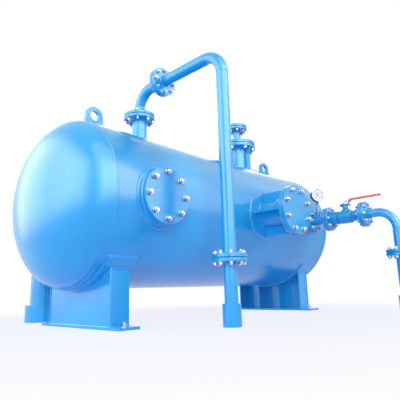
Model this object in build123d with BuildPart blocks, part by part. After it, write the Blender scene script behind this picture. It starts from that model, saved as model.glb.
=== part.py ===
"""Horizontal pressure tank on two saddles, with its hatches, nozzles and pipework.

Millimetres. The origin is on the ground under the middle of the tank, +X runs along
the tank, -Y is the front with the hatches, and +Z is up.
"""

import os
from math import isclose

from build123d import *

# Vessel
tank_od = 1200.0
shell_wall = 10.0
seam_to_seam = 2650.0
head_depth = 300.0
ground_clearance = 260.0

# Saddles
saddle_inset = 173.0
base_plate_width = 160.0
base_plate_length = 1000.0
base_plate_thickness = 18.0
anchor_edge = 60.0
anchor_hole_d = 28.0
web_thickness = 14.0
web_end_setback = 110.0
web_setback = 10.0
rib_thickness = 14.0
rib_setback = 4.0
rib_count = 4
wear_plate_width = 230.0
wear_plate_thickness = 14.0
wear_plate_shift = 14.0
wear_plate_half_angle = 47.7

# Lifting lugs
lug_inset = 190.0
lug_base_width = 180.0
lug_thickness = 28.0
lug_eye_height = 120.0
lug_eye_d = 80.0
lug_rim = 32.0
lug_foot = 4.0

# Pads round each opening and ribs along the wide necks
pad_thickness = 12.0
neck_rib_thickness = 14.0
neck_rib_count = 4

# Flanged joints
bolt_count = 8
rim_chamfer = 2.5
gasket_thickness = 3.0
gasket_clearance = 8.0
pipe_setback = 4.0

# Riser line and the flanges that it shares with the vent
pipe_od = 89.0
pipe_wall = 5.5
flange_od = 232.0
flange_thickness = 25.0
flange_bolt_edge = 23.5
flange_hole_d = 18.0
bend_radius = 165.0
sleeve_wall = 16.5
sleeve_height = 142.0

# Inlet nozzle on top, where the riser line starts
inlet_inset = 638.0
inlet_neck_od = 127.0
inlet_neck_wall = 7.0
inlet_pad_width = 76.5
inlet_flange_od = 263.0
inlet_bolt_edge = 21.5
inlet_stand = 231.0
inlet_stub = 53.5
run_joint = 300.0
riser_stand = 340.0
riser_joint_height = 430.0

# Vent dome on top, at the far end
dome_inset = 672.0
dome_neck_od = 219.0
dome_neck_wall = 8.0
dome_pad_width = 106.5
dome_rib_reach = 53.5
dome_rib_angle = 0.0
dome_flange_od = 390.0
dome_flange_thickness = 33.0
dome_bolt_edge = 25.0
dome_hole_d = 22.0
dome_bolt_angle = 22.5
dome_stand = 277.0
vent_stand = 211.0

# Near hatch, bolted close against the shell
near_hatch_inset = 372.0
near_hatch_od = 394.0
near_hatch_pad_width = 21.0
near_gasket_setback = 5.0
near_hatch_stand = 48.0
near_cover_thickness = 24.0
near_bolt_edge = 35.5
near_seat_width = 41.5
near_hole_d = 26.0
near_stud_depth = 15.0

# Far hatch, on a long ribbed neck
far_hatch_inset = 1565.0
far_hatch_od = 415.0
far_neck_od = 219.0
far_neck_wall = 8.0
far_hatch_pad_width = 106.5
far_hatch_stand = 324.0
far_cover_thickness = 26.0
far_rib_reach = 80.5
far_bolt_edge = 35.0
far_hole_d = 26.0
far_bolt_angle = 22.5

# Outlet line with gauge and valve
outlet_inset = 379.0
outlet_pipe_od = 76.0
outlet_pipe_wall = 5.0
outlet_flange_od = 225.0
outlet_bolt_edge = 23.5
outlet_hole_d = 18.0
outlet_bend_radius = 158.0
outlet_pad_width = 37.0
outlet_sleeve_wall = 18.0
outlet_stand = 76.0
tee_spacing = 172.0
valve_spacing = 342.0
drop_run = 268.0
drop_joint_height = 494.0

# Pressure gauge and the stem that carries it
gauge_offset = 62.0
gauge_boss_od = 40.0
gauge_boss_height = 115.0
gauge_stem_od = 20.0
gauge_height = 252.0
gauge_od = 127.0
gauge_rim = 3.0
gauge_depth = 48.0
gauge_back_bevel = 6.0
gauge_bezel_width = 11.0
gauge_dial_margin = 5.0
gauge_dial_recess = 5.0
gauge_socket_od = 26.0
gauge_socket_length = 24.0
gauge_angle = 35.0

# Ball valve: turned body, neck and stop plate
valve_hub_od = 122.0
valve_barrel_od = 120.0
valve_barrel_length = 110.0
valve_groove_depth = 16.0
valve_groove_floor = 4.0
valve_shoulder = 10.0
valve_flare_od = 132.0
valve_fillet = 5.0
valve_foot_od = 72.0
valve_foot_rise = 6.0
valve_foot_slope = 14.0
valve_neck_od = 46.0
valve_plate_rise = 60.0
valve_plate_length = 86.0
valve_plate_width = 64.0
valve_plate_thickness = 8.0
valve_plate_corner = 12.0
valve_ear_width = 34.0
valve_ear_drop = 14.0

# Valve lever: a flat bar, cranked upward, in a moulded grip
stem_od = 24.0
stem_rise = 34.0
stem_bevel = 2.0
running_gap = 0.3
lever_hub_od = 54.0
lever_width = 28.0
lever_thickness = 8.0
lever_crank_start = 24.0
lever_crank_end = 56.0
lever_crank_radius = 12.0
lever_rise = 34.0
lever_reach = 328.0
grip_wall = 3.0
grip_corner = 4.0
grip_start_share = 0.45

# Rear nozzle and its drop pipe
rear_inset = 316.0
rear_pipe_od = 219.0
rear_pipe_wall = 8.0
rear_pad_width = 60.5
rear_flange_od = 340.0
rear_flange_thickness = 25.5
rear_bolt_edge = 22.5
rear_hole_d = 22.0
rear_stand = 77.0
rear_bend_radius = 229.0
rear_drop_stand = 340.0
rear_joint_drop = 56.0
rear_sleeve_wall = 38.5

# Values worked out from the sizes above
half_length = seam_to_seam / 2
tank_r = tank_od / 2
axis_height = ground_clearance + tank_r
gasket_half = gasket_thickness / 2
pipe_end_gap = gasket_half + pipe_setback

inlet_x = -half_length + inlet_inset
near_hatch_x = -half_length + near_hatch_inset
far_hatch_x = -half_length + far_hatch_inset
rear_x = -half_length + rear_inset
dome_x = half_length - dome_inset
outlet_x = half_length - outlet_inset

pipe_bore = pipe_od - 2 * pipe_wall
inlet_bore = inlet_neck_od - 2 * inlet_neck_wall
dome_bore = dome_neck_od - 2 * dome_neck_wall
far_neck_bore = far_neck_od - 2 * far_neck_wall
outlet_bore = outlet_pipe_od - 2 * outlet_pipe_wall
rear_bore = rear_pipe_od - 2 * rear_pipe_wall

flange_bolt_circle = flange_od - 2 * flange_bolt_edge
inlet_bolt_circle = inlet_flange_od - 2 * inlet_bolt_edge
dome_bolt_circle = dome_flange_od - 2 * dome_bolt_edge
near_bolt_circle = near_hatch_od - 2 * near_bolt_edge
far_bolt_circle = far_hatch_od - 2 * far_bolt_edge
outlet_bolt_circle = outlet_flange_od - 2 * outlet_bolt_edge
rear_bolt_circle = rear_flange_od - 2 * rear_bolt_edge
near_hatch_bore = near_bolt_circle - 2 * near_seat_width

UP = (0, 0, 1)
DOWN = (0, 0, -1)
FRONT = (0, -1, 0)
REAR = (0, 1, 0)
ALONG = (1, 0, 0)

os.makedirs("parts", exist_ok=True)


def save(piece, node):
    """Label a finished piece and write it as one node."""
    piece.part.label = node
    export_step(piece.part, f"parts/{node}.step")


def facing(direction, x, out, height=axis_height):
    """Plane square to a pipe that leaves the tank axis at x, so far out along direction."""
    point = Vector(x, 0, height) + Vector(*direction) * out
    return Plane(origin=point, x_dir=ALONG, z_dir=direction)


def upright(x, y, height):
    """Plane square to a vertical pipe, looking up."""
    return Plane(origin=(x, y, height), x_dir=ALONG, z_dir=UP)


def disc(start, length, outer):
    """Solid round bar from a plane along its normal."""
    with BuildSketch(start) as section:
        Circle(outer / 2)
    extrude(section.sketch, amount=length)


def tube(start, length, outer, bore):
    """Round tube from a plane along its normal."""
    with BuildSketch(start) as section:
        Circle(outer / 2)
        Circle(bore / 2, mode=Mode.SUBTRACT)
    extrude(section.sketch, amount=length)


def bend(start, toward, radius, outer, bore):
    """Quarter bend that leaves a plane along its normal and turns toward a direction."""
    with BuildSketch(start) as section:
        Circle(outer / 2)
        Circle(bore / 2, mode=Mode.SUBTRACT)
    centre = start.origin + Vector(*toward) * radius
    pivot = Axis(centre, start.z_dir.cross(Vector(*toward)))
    revolve(section.sketch, axis=pivot, revolution_arc=90)


def ring_inside(circle_d, hole_d):
    """Outer diameter of a gasket that lies inside a ring of bolts."""
    return circle_d - hole_d - 2 * gasket_clearance


def flange_pair(joint, outer, thickness, ring_od, bore):
    """Two flanges face to face with the gasket's narrower ring between them."""
    tube(joint.offset(-gasket_half - thickness), thickness, outer, bore)
    tube(joint.offset(-gasket_half), gasket_thickness, ring_od, bore)
    tube(joint.offset(gasket_half), thickness, outer, bore)


def rims(piece, diameter):
    """Round edges of a piece that have one diameter."""
    edges = piece.edges().filter_by(GeomType.CIRCLE)
    return edges.filter_by(lambda edge: isclose(edge.radius, diameter / 2))


def bolt_holes(start, depth, circle_d, hole_d, first_angle=0):
    """Ring of bolt holes from a plane along its normal."""
    with BuildSketch(start) as holes:
        with PolarLocations(circle_d / 2, bolt_count, start_angle=first_angle):
            Circle(hole_d / 2)
    extrude(holes.sketch, amount=depth, mode=Mode.SUBTRACT)


def turned(start, outline):
    """Solid turned about a plane's normal, from points of distance along it and radius."""
    side = Plane(start.origin, x_dir=start.z_dir, z_dir=start.z_dir.cross(start.x_dir))
    with BuildSketch(side) as section:
        with BuildLine():
            Polyline(*outline, close=True)
        make_face()
    revolve(section.sketch, axis=Axis(start.origin, start.z_dir))


def cut_to_shell():
    """Trim a piece so that it sits on the outside of the shell."""
    with BuildSketch(Plane.YZ.offset(-half_length)) as vessel:
        with Locations((0, axis_height)):
            Circle(tank_r)
    extrude(vessel.sketch, amount=seam_to_seam, mode=Mode.SUBTRACT)


def neck_ribs(start, turn, length, neck_od, rib_od):
    """Ribs that stand along a wide neck, evenly spaced round it, down to its pad."""
    with BuildSketch(start) as section:
        with PolarLocations(0, neck_rib_count, start_angle=turn):
            Rectangle(rib_od / 2, neck_rib_thickness, align=(Align.MIN, Align.CENTER))
        Circle(neck_od / 2, mode=Mode.SUBTRACT)
    extrude(section.sketch, amount=length)
    with BuildSketch(Plane.YZ.offset(-half_length)) as vessel:
        with Locations((0, axis_height)):
            Circle(tank_r + pad_thickness)
    extrude(vessel.sketch, amount=seam_to_seam, mode=Mode.SUBTRACT)


# Openings in the shell: direction, place, width of the pad, hole in the pad and bore
openings = (
    (UP, inlet_x, inlet_pad_width, inlet_neck_od, inlet_bore),
    (UP, dome_x, dome_pad_width, dome_neck_od, dome_bore),
    (FRONT, near_hatch_x, near_hatch_pad_width, near_hatch_od, near_hatch_bore),
    (FRONT, far_hatch_x, far_hatch_pad_width, far_neck_od, far_neck_bore),
    (FRONT, outlet_x, outlet_pad_width, outlet_pipe_od, outlet_bore),
    (REAR, rear_x, rear_pad_width, rear_pipe_od, rear_bore),
)

# Shell: rolled plate with its openings, open at both ends until the heads close it
with BuildPart() as shell:
    with BuildSketch(Plane.YZ.offset(-half_length)):
        with Locations((0, axis_height)):
            Circle(tank_r)
            Circle(tank_r - shell_wall, mode=Mode.SUBTRACT)
    extrude(amount=seam_to_seam)
    for direction, opening_x, _, _, bore in openings:
        with BuildSketch(facing(direction, opening_x, 0)):
            Circle(bore / 2)
        extrude(amount=tank_od, mode=Mode.SUBTRACT)
save(shell, "shell")


# Heads: half ellipses turned about the tank axis
tank_axis = Axis((0, 0, axis_height), ALONG)
with BuildPart() as far_head:
    with BuildSketch(Plane.XZ):
        with BuildLine():
            seam = (half_length, axis_height)
            outside = EllipticalCenterArc(seam, head_depth, tank_r, 0, arc_size=90)
            inside = EllipticalCenterArc(
                seam, head_depth - shell_wall, tank_r - shell_wall, 0, arc_size=90
            )
            Line(outside @ 0, inside @ 0)
            Line(outside @ 1, inside @ 1)
        make_face()
    revolve(axis=tank_axis)
save(far_head, "far_head")

with BuildPart() as near_head:
    add(far_head.part.mirror(Plane.YZ))
save(near_head, "near_head")


# Saddles: base plate, web toward the head, ribs behind it and a wear plate under the shell
saddle_x = half_length - saddle_inset
anchor_spacing = base_plate_length - 2 * anchor_edge
web_length = base_plate_length - 2 * web_end_setback
web_height = axis_height - base_plate_thickness
web_face = saddle_x + base_plate_width / 2 - web_setback
rib_depth = base_plate_width - web_setback - rib_setback - web_thickness
rib_pitch = (web_length - rib_thickness) / (rib_count - 1)
wear_plate_r = tank_r + wear_plate_thickness
saddle_plan = Plane((saddle_x, 0, 0))

with BuildPart() as far_base_plate:
    with BuildSketch(saddle_plan):
        Rectangle(base_plate_width, base_plate_length)
        with GridLocations(0, anchor_spacing, 1, 2):
            Circle(anchor_hole_d / 2, mode=Mode.SUBTRACT)
    extrude(amount=base_plate_thickness)
save(far_base_plate, "far_base_plate")

with BuildPart() as far_saddle_web:
    with BuildSketch(Plane.YZ.offset(web_face)):
        with Locations((0, base_plate_thickness)):
            Rectangle(web_length, web_height, align=(Align.CENTER, Align.MIN))
        with Locations((0, axis_height)):
            Circle(wear_plate_r, mode=Mode.SUBTRACT)
    extrude(amount=-web_thickness)
save(far_saddle_web, "far_saddle_web")

with BuildPart() as far_saddle_ribs:
    with BuildSketch(Plane.YZ.offset(web_face - web_thickness)):
        with Locations((0, base_plate_thickness)):
            with GridLocations(rib_pitch, 0, rib_count, 1):
                Rectangle(rib_thickness, web_height, align=(Align.CENTER, Align.MIN))
        with Locations((0, axis_height)):
            Circle(wear_plate_r, mode=Mode.SUBTRACT)
    extrude(amount=-rib_depth)
save(far_saddle_ribs, "far_saddle_ribs")

with BuildPart() as far_wear_plate:
    with BuildSketch(Plane.YZ.offset(saddle_x + wear_plate_shift - wear_plate_width / 2)):
        with BuildLine():
            first = -90 - wear_plate_half_angle
            wrap = 2 * wear_plate_half_angle
            under = CenterArc((0, axis_height), wear_plate_r, first, wrap)
            over = CenterArc((0, axis_height), tank_r, first, wrap)
            Line(under @ 0, over @ 0)
            Line(under @ 1, over @ 1)
        make_face()
    extrude(amount=wear_plate_width)
save(far_wear_plate, "far_wear_plate")

far_saddle_pieces = {
    "near_base_plate": far_base_plate,
    "near_saddle_web": far_saddle_web,
    "near_saddle_ribs": far_saddle_ribs,
    "near_wear_plate": far_wear_plate,
}
for node, far_piece in far_saddle_pieces.items():
    with BuildPart() as near_piece:
        add(far_piece.part.mirror(Plane.YZ))
    save(near_piece, node)


# Lifting lugs: plates that stand on the shell with a round eye
lug_top_r = lug_eye_d / 2 + lug_rim
shell_top = axis_height + tank_r
lug_eye_z = shell_top + lug_eye_height
for node, lug_x in (("near_lug", -half_length + lug_inset), ("far_lug", half_length - lug_inset)):
    with BuildPart() as lug:
        with BuildSketch(Plane.XZ) as outline:
            with Locations((lug_x, lug_eye_z)):
                Circle(lug_top_r)
            with Locations((lug_x, shell_top)):
                Rectangle(lug_base_width, lug_foot, align=(Align.CENTER, Align.MAX))
            make_hull()
            with Locations((lug_x, lug_eye_z)):
                Circle(lug_eye_d / 2, mode=Mode.SUBTRACT)
        extrude(amount=lug_thickness / 2, both=True)
        cut_to_shell()
    save(lug, node)


# Pads round the openings, one ring for each
with BuildPart() as nozzle_pads:
    for direction, pad_x, pad_width, pad_hole, _ in openings:
        tube(facing(direction, pad_x, 0), tank_od, pad_hole + 2 * pad_width, pad_hole)
    with BuildSketch(Plane.YZ.offset(-half_length)):
        with Locations((0, axis_height)):
            Circle(tank_r + pad_thickness)
            Circle(tank_r, mode=Mode.SUBTRACT)
    extrude(amount=seam_to_seam, mode=Mode.INTERSECT)
save(nozzle_pads, "nozzle_pads")


# Inlet nozzle and riser line
gasket_od = ring_inside(flange_bolt_circle, flange_hole_d)
flange_half = gasket_half + flange_thickness
inlet_joint = tank_r + inlet_stand
run_rise = inlet_joint + gasket_half + inlet_stub + bend_radius
run_height = axis_height + run_rise
riser_reach = tank_r + riser_stand

with BuildPart() as inlet_neck:
    tube(facing(UP, inlet_x, 0), inlet_joint - pipe_end_gap, inlet_neck_od, inlet_bore)
    cut_to_shell()
save(inlet_neck, "inlet_neck")

with BuildPart() as inlet_flanges:
    joint = facing(UP, inlet_x, inlet_joint)
    tube(joint.offset(-flange_half), flange_thickness, inlet_flange_od, inlet_neck_od)
    inlet_gasket_od = ring_inside(inlet_bolt_circle, flange_hole_d)
    tube(joint.offset(-gasket_half), gasket_thickness, inlet_gasket_od, pipe_bore)
    tube(joint.offset(gasket_half), flange_thickness, inlet_flange_od, pipe_od)
    chamfer(rims(inlet_flanges, inlet_flange_od), rim_chamfer)
    bolt_holes(joint.offset(-flange_half), 2 * flange_half, inlet_bolt_circle, flange_hole_d)
save(inlet_flanges, "inlet_flanges")

with BuildPart() as riser_line_bends:
    stub_start = inlet_joint + gasket_half
    tube(facing(UP, inlet_x, stub_start), inlet_stub, pipe_od, pipe_bore)
    bend(facing(UP, inlet_x, stub_start + inlet_stub), FRONT, bend_radius, pipe_od, pipe_bore)
    riser_corner = facing(FRONT, inlet_x, riser_reach - bend_radius, run_height)
    bend(riser_corner, DOWN, bend_radius, pipe_od, pipe_bore)
save(riser_line_bends, "riser_line_bends")

with BuildPart() as riser_line_pipes:
    first_length = run_joint - pipe_end_gap - bend_radius
    second_start = run_joint + pipe_end_gap
    second_length = riser_reach - bend_radius - second_start
    riser_start = riser_joint_height + pipe_end_gap
    riser_length = run_height - bend_radius - riser_start
    foot_length = riser_joint_height - pipe_end_gap
    tube(facing(FRONT, inlet_x, bend_radius, run_height), first_length, pipe_od, pipe_bore)
    tube(facing(FRONT, inlet_x, second_start, run_height), second_length, pipe_od, pipe_bore)
    tube(upright(inlet_x, -riser_reach, riser_start), riser_length, pipe_od, pipe_bore)
    tube(upright(inlet_x, -riser_reach, 0), foot_length, pipe_od, pipe_bore)
save(riser_line_pipes, "riser_line_pipes")

with BuildPart() as riser_line_flanges:
    run_plane = facing(FRONT, inlet_x, run_joint, run_height)
    riser_plane = upright(inlet_x, -riser_reach, riser_joint_height)
    for joint in (run_plane, riser_plane):
        flange_pair(joint, flange_od, flange_thickness, gasket_od, pipe_od)
    chamfer(rims(riser_line_flanges, flange_od), rim_chamfer)
    for joint in (run_plane, riser_plane):
        bolt_holes(joint.offset(-flange_half), 2 * flange_half, flange_bolt_circle, flange_hole_d)
save(riser_line_flanges, "riser_line_flanges")


# Vent dome: wide neck with a flanged cover that carries a small blanked nozzle
dome_half = gasket_half + dome_flange_thickness
dome_joint = tank_r + dome_stand
vent_joint = dome_joint + vent_stand
with BuildPart() as dome_neck:
    tube(facing(UP, dome_x, 0), dome_joint - pipe_end_gap, dome_neck_od, dome_bore)
    cut_to_shell()
save(dome_neck, "dome_neck")

with BuildPart() as dome_ribs:
    rib_top = dome_joint - dome_half
    dome_rib_od = dome_neck_od + 2 * dome_rib_reach
    neck_ribs(facing(UP, dome_x, 0), dome_rib_angle, rib_top, dome_neck_od, dome_rib_od)
save(dome_ribs, "dome_ribs")

with BuildPart() as dome_flanges:
    joint = facing(UP, dome_x, dome_joint)
    lower_face = joint.offset(-dome_half)
    tube(lower_face, dome_flange_thickness, dome_flange_od, dome_neck_od)
    dome_gasket_od = ring_inside(dome_bolt_circle, dome_hole_d)
    tube(joint.offset(-gasket_half), gasket_thickness, dome_gasket_od, pipe_bore)
    tube(joint.offset(gasket_half), dome_flange_thickness, dome_flange_od, pipe_od)
    chamfer(rims(dome_flanges, dome_flange_od), rim_chamfer)
    bolt_holes(lower_face, 2 * dome_half, dome_bolt_circle, dome_hole_d, dome_bolt_angle)
save(dome_flanges, "dome_flanges")

with BuildPart() as vent_neck:
    vent_start = dome_joint + gasket_half
    tube(facing(UP, dome_x, vent_start), vent_joint - pipe_end_gap - vent_start, pipe_od, pipe_bore)
save(vent_neck, "vent_neck")

with BuildPart() as vent_flanges:
    joint = facing(UP, dome_x, vent_joint)
    tube(joint.offset(-flange_half), flange_thickness, flange_od, pipe_od)
    disc(joint.offset(-gasket_half), gasket_thickness, gasket_od)
    disc(joint.offset(gasket_half), flange_thickness, flange_od)
    chamfer(rims(vent_flanges, flange_od), rim_chamfer)
    bolt_holes(joint.offset(-flange_half), 2 * flange_half, flange_bolt_circle, flange_hole_d)
save(vent_flanges, "vent_flanges")


# Near hatch: ring on the shell, drilled for studs, and a bolted cover
near_hatch_face = tank_r + near_hatch_stand
near_cover_back = near_hatch_face - near_cover_thickness
near_ring_face = near_cover_back - gasket_thickness
with BuildPart() as near_hatch_ring:
    tube(facing(FRONT, near_hatch_x, 0), near_ring_face, near_hatch_od, near_hatch_bore)
    cut_to_shell()
    chamfer(rims(near_hatch_ring, near_hatch_od), rim_chamfer)
    gasket_start = facing(FRONT, near_hatch_x, near_ring_face)
    near_gasket_od = near_hatch_od - 2 * near_gasket_setback
    tube(gasket_start, gasket_thickness, near_gasket_od, near_hatch_bore)
    stud_start = facing(FRONT, near_hatch_x, near_ring_face - near_stud_depth)
    stud_length = near_stud_depth + gasket_thickness
    bolt_holes(stud_start, stud_length, near_bolt_circle, near_hole_d)
save(near_hatch_ring, "near_hatch_ring")

with BuildPart() as near_hatch_cover:
    cover_back = facing(FRONT, near_hatch_x, near_cover_back)
    disc(cover_back, near_cover_thickness, near_hatch_od)
    chamfer(rims(near_hatch_cover, near_hatch_od), rim_chamfer)
    bolt_holes(cover_back, near_cover_thickness, near_bolt_circle, near_hole_d)
save(near_hatch_cover, "near_hatch_cover")


# Far hatch: long neck with ribs, a flange and a bolted cover
far_cover_back = tank_r + far_hatch_stand - far_cover_thickness
far_flange_back = far_cover_back - gasket_thickness - far_cover_thickness
with BuildPart() as far_hatch_neck:
    tube(facing(FRONT, far_hatch_x, 0), far_flange_back, far_neck_od, far_neck_bore)
    cut_to_shell()
save(far_hatch_neck, "far_hatch_neck")

with BuildPart() as far_hatch_flange:
    flange_back = facing(FRONT, far_hatch_x, far_flange_back)
    gasket_start = flange_back.offset(far_cover_thickness)
    tube(flange_back, far_cover_thickness, far_hatch_od, far_neck_bore)
    far_gasket_od = ring_inside(far_bolt_circle, far_hole_d)
    tube(gasket_start, gasket_thickness, far_gasket_od, far_neck_bore)
    chamfer(rims(far_hatch_flange, far_hatch_od), rim_chamfer)
    bolt_holes(flange_back, far_cover_thickness, far_bolt_circle, far_hole_d, far_bolt_angle)
save(far_hatch_flange, "far_hatch_flange")

with BuildPart() as far_hatch_cover:
    cover_back = facing(FRONT, far_hatch_x, far_cover_back)
    disc(cover_back, far_cover_thickness, far_hatch_od)
    chamfer(rims(far_hatch_cover, far_hatch_od), rim_chamfer)
    bolt_holes(cover_back, far_cover_thickness, far_bolt_circle, far_hole_d, far_bolt_angle)
save(far_hatch_cover, "far_hatch_cover")

with BuildPart() as far_hatch_ribs:
    far_rib_od = far_neck_od + 2 * far_rib_reach
    neck_ribs(facing(FRONT, far_hatch_x, 0), 0, far_flange_back, far_neck_od, far_rib_od)
save(far_hatch_ribs, "far_hatch_ribs")


# Outlet line: nozzle, gauge tee, ball valve, bend and drop pipe
outlet_joint = tank_r + outlet_stand
tee_joint = outlet_joint + tee_spacing
valve_joint = tee_joint + valve_spacing
drop_reach = valve_joint + drop_run
with BuildPart() as outlet_neck:
    tube(facing(FRONT, outlet_x, 0), outlet_joint - pipe_end_gap, outlet_pipe_od, outlet_bore)
    cut_to_shell()
save(outlet_neck, "outlet_neck")

with BuildPart() as outlet_line_flanges:
    joints = [facing(FRONT, outlet_x, reach) for reach in (outlet_joint, tee_joint, valve_joint)]
    joints.append(upright(outlet_x, -drop_reach, drop_joint_height))
    outlet_gasket_od = ring_inside(outlet_bolt_circle, outlet_hole_d)
    for joint in joints:
        flange_pair(joint, outlet_flange_od, flange_thickness, outlet_gasket_od, outlet_pipe_od)
    chamfer(rims(outlet_line_flanges, outlet_flange_od), rim_chamfer)
    for joint in joints:
        bolt_holes(joint.offset(-flange_half), 2 * flange_half, outlet_bolt_circle, outlet_hole_d)
save(outlet_line_flanges, "outlet_line_flanges")

# Gauge tee: short pipe with a boss on top and the thin stem that carries the gauge
gauge_reach = outlet_joint + gauge_offset
socket_foot = axis_height + gauge_height - gauge_od / 2 - gauge_socket_length
with BuildPart() as gauge_tee:
    tee_start = outlet_joint + pipe_end_gap
    tee_length = tee_joint - pipe_end_gap - tee_start
    branch = upright(outlet_x, -gauge_reach, axis_height)
    disc(facing(FRONT, outlet_x, tee_start), tee_length, outlet_pipe_od)
    disc(branch, gauge_boss_height, gauge_boss_od)
    disc(branch, socket_foot - axis_height, gauge_stem_od)
    with BuildSketch(facing(FRONT, outlet_x, tee_start)):
        Circle(outlet_bore / 2)
    extrude(amount=tee_length, mode=Mode.SUBTRACT)
save(gauge_tee, "gauge_tee")

# Valve body: hub, groove, barrel and flare turned in one outline, with a neck and stop plate
body_start = tee_joint + flange_half
body_length = valve_joint - flange_half - body_start
valve_middle = body_start + body_length / 2
barrel_start = (body_length - valve_barrel_length) / 2
barrel_end = barrel_start + valve_barrel_length
hub_end = barrel_start - valve_groove_floor - 2 * valve_shoulder
groove_r = valve_barrel_od / 2 - valve_groove_depth
valve_foot_height = valve_barrel_od / 2 + valve_foot_rise
valve_plate_height = valve_barrel_od / 2 + valve_plate_rise
plate_start = valve_plate_height - valve_plate_thickness
with BuildPart() as valve_body:
    turned(
        facing(FRONT, outlet_x, body_start),
        [
            (0, 0),
            (0, valve_hub_od / 2),
            (hub_end, valve_hub_od / 2),
            (hub_end + valve_shoulder, groove_r),
            (barrel_start - valve_shoulder, groove_r),
            (barrel_start, valve_barrel_od / 2),
            (barrel_end, valve_barrel_od / 2),
            (barrel_end + valve_shoulder, groove_r),
            (body_length, valve_flare_od / 2),
            (body_length, 0),
        ],
    )
    fillet(rims(valve_body, valve_barrel_od), valve_fillet)
    turned(
        upright(outlet_x, -valve_middle, axis_height),
        [
            (0, 0),
            (0, valve_foot_od / 2),
            (valve_foot_height, valve_foot_od / 2),
            (valve_foot_height + valve_foot_slope, valve_neck_od / 2),
            (plate_start, valve_neck_od / 2),
            (plate_start, 0),
        ],
    )
    plate_plane = upright(outlet_x, -valve_middle, axis_height + plate_start)
    with BuildSketch(plate_plane):
        RectangleRounded(valve_plate_width, valve_plate_length, valve_plate_corner)
    extrude(amount=valve_plate_thickness)
    with BuildSketch(plate_plane):
        with GridLocations(0, valve_plate_length - valve_plate_thickness, 1, 2):
            Rectangle(valve_ear_width, valve_plate_thickness)
    extrude(amount=-valve_ear_drop)
    spigot_start = tee_joint + pipe_end_gap
    spigot_length = valve_joint - pipe_end_gap - spigot_start
    disc(facing(FRONT, outlet_x, spigot_start), spigot_length, outlet_pipe_od)
    with BuildSketch(facing(FRONT, outlet_x, spigot_start)):
        Circle(outlet_bore / 2)
    extrude(amount=spigot_length, mode=Mode.SUBTRACT)
save(valve_body, "valve_body")

# Valve stem and the lever on it: a flat bar bent upward, and the grip moulded round it
stem_foot = axis_height + valve_plate_height + running_gap
stem_plane = upright(outlet_x, -valve_middle, stem_foot)
with BuildPart() as valve_stem:
    disc(stem_plane, stem_rise, stem_od)
    chamfer(valve_stem.edges().group_by(Axis.Z)[-1], stem_bevel)
save(valve_stem, "valve_stem")

bar_middle = stem_foot + lever_thickness / 2
bar_top = bar_middle + lever_rise
stem_point = Vector(outlet_x, -valve_middle, bar_middle)
crank_foot = stem_point - Vector(0, lever_crank_start, 0)
crank_top = Vector(outlet_x, -valve_middle - lever_crank_end, bar_top)
lever_tip = Vector(outlet_x, -valve_middle - lever_reach, bar_top)
with BuildPart() as valve_lever:
    with BuildLine() as bar_line:
        FilletPolyline(stem_point, crank_foot, crank_top, lever_tip, radius=lever_crank_radius)
    with BuildSketch(Plane(bar_line.line @ 0, x_dir=ALONG, z_dir=bar_line.line % 0)):
        Rectangle(lever_width, lever_thickness)
    sweep(path=bar_line.line)
    disc(stem_plane, lever_thickness, lever_hub_od)
    with BuildSketch(stem_plane):
        Circle(stem_od / 2)
    extrude(amount=lever_thickness, mode=Mode.SUBTRACT)
save(valve_lever, "valve_lever")

with BuildPart() as lever_grip:
    with BuildLine() as grip_line:
        grip_start = crank_foot + (crank_top - crank_foot) * grip_start_share
        grip_end = lever_tip - Vector(0, grip_wall, 0)
        FilletPolyline(grip_start, crank_top, grip_end, radius=lever_crank_radius)
    with BuildSketch(Plane(grip_line.line @ 0, x_dir=ALONG, z_dir=grip_line.line % 0)):
        grip_width = lever_width + 2 * grip_wall
        grip_thickness = lever_thickness + 2 * grip_wall
        RectangleRounded(grip_width, grip_thickness, grip_corner)
    sweep(path=grip_line.line)
    add(valve_lever.part, mode=Mode.SUBTRACT)
save(lever_grip, "lever_grip")

with BuildPart() as outlet_line_pipes:
    run_start = valve_joint + pipe_end_gap
    run_length = drop_reach - outlet_bend_radius - run_start
    drop_start = drop_joint_height + pipe_end_gap
    drop_length = axis_height - outlet_bend_radius - drop_start
    drop_foot_length = drop_joint_height - pipe_end_gap
    tube(facing(FRONT, outlet_x, run_start), run_length, outlet_pipe_od, outlet_bore)
    tube(upright(outlet_x, -drop_reach, drop_start), drop_length, outlet_pipe_od, outlet_bore)
    tube(upright(outlet_x, -drop_reach, 0), drop_foot_length, outlet_pipe_od, outlet_bore)
save(outlet_line_pipes, "outlet_line_pipes")

with BuildPart() as outlet_bend:
    drop_corner = facing(FRONT, outlet_x, drop_reach - outlet_bend_radius)
    bend(drop_corner, DOWN, outlet_bend_radius, outlet_pipe_od, outlet_bore)
save(outlet_bend, "outlet_bend")


# Pressure gauge: case with a bezel and a sunk dial, turned toward the near end
with BuildPart() as pressure_gauge:
    dial_axis = Vector(*FRONT).rotate(Axis.Z, -gauge_angle)
    gauge_centre = Vector(outlet_x, -gauge_reach, axis_height + gauge_height)
    gauge_back = Plane(gauge_centre - dial_axis * gauge_depth / 2, x_dir=UP, z_dir=dial_axis)
    case_r = gauge_od / 2 - gauge_rim
    dial_r = gauge_od / 2 - gauge_dial_margin
    turned(
        gauge_back,
        [
            (0, 0),
            (0, case_r - gauge_back_bevel),
            (gauge_back_bevel, case_r),
            (gauge_depth - gauge_bezel_width, case_r),
            (gauge_depth - gauge_bezel_width, gauge_od / 2),
            (gauge_depth, gauge_od / 2),
            (gauge_depth, dial_r),
            (gauge_depth - gauge_dial_recess, dial_r),
            (gauge_depth - gauge_dial_recess, 0),
        ],
    )
    socket_length = gauge_socket_length + gauge_od / 2
    disc(upright(outlet_x, -gauge_reach, socket_foot), socket_length, gauge_socket_od)
save(pressure_gauge, "pressure_gauge")


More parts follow.
